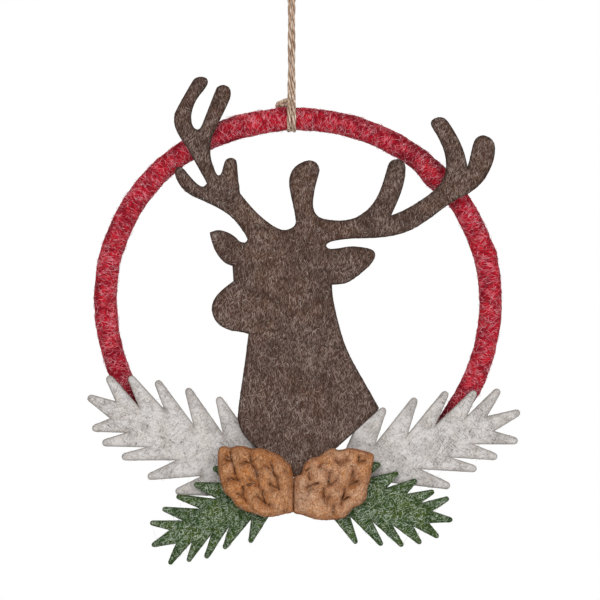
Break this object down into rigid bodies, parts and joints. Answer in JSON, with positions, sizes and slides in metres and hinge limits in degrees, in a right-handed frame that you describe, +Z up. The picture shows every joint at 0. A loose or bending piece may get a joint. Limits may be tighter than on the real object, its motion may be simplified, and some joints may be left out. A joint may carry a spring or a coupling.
{
  "type": "hanging felt ornament",
  "caption": "Hanging felt ornament: a stag's head in front of a red wrapped hoop, with white and green sprigs and felt pine cones at its foot, on a doubled twine loop.",
  "frame": {"origin": "the hang point: the inside top of the twine's eye, where a hook carries it", "axes": "+Z up along the hanging twine, +Y to the back, so the stag's front faces -Y and its muzzle points to -X"},
  "size_m": [0.173, 0.026, 0.2427],
  "materials": {
    "core_wire": "drawn",
    "hoop_felt": "fuzzy wool felt",
    "stag_felt": "pressed wool felt",
    "white_felt": "pressed wool felt",
    "green_felt": "pressed wool felt",
    "cone_felt": "needle felted wool",
    "twine": "raw jute",
    "glue": "milky hot melt"
  },
  "bodies": {
    "eye": {"hanging_eye": "twine"},
    "hanger": {"cord_strand_left": "twine", "cord_strand_right": "twine", "hoop_hitch": "twine", "hitch_knot": "twine"},
    "ornament": {"hoop_core": "core_wire", "hoop_wrap": "hoop_felt", "stag_head": "stag_felt", "white_sprig_left": "white_felt", "white_sprig_right": "white_felt", "green_sprig_left": "green_felt", "green_sprig_right": "green_felt", "pine_cone_left": "cone_felt", "pine_cone_right": "cone_felt", "glue_antler_left": "glue", "glue_breast_left": "glue", "glue_green_left": "glue", "glue_cone_top_left": "glue", "glue_cone_foot_left": "glue", "glue_antler_right": "glue", "glue_breast_right": "glue", "glue_green_right": "glue", "glue_cone_top_right": "glue", "glue_cone_foot_right": "glue", "glue_sprig_left_1": "glue", "glue_sprig_left_2": "glue", "glue_sprig_right_1": "glue", "glue_sprig_right_2": "glue"}
  },
  "joints": [
    {"name": "cord_twist", "type": "hinge", "parent": "eye", "child": "hanger", "pos_m": [0, 0, -0.015], "axis": [0, 0, 1], "range_deg": [-180, 180]},
    {"name": "hoop_tilt", "type": "hinge", "parent": "hanger", "child": "ornament", "pos_m": [0, 0, -0.0627], "axis": [1, 0, 0], "range_deg": [-90, 90]}
  ]
}
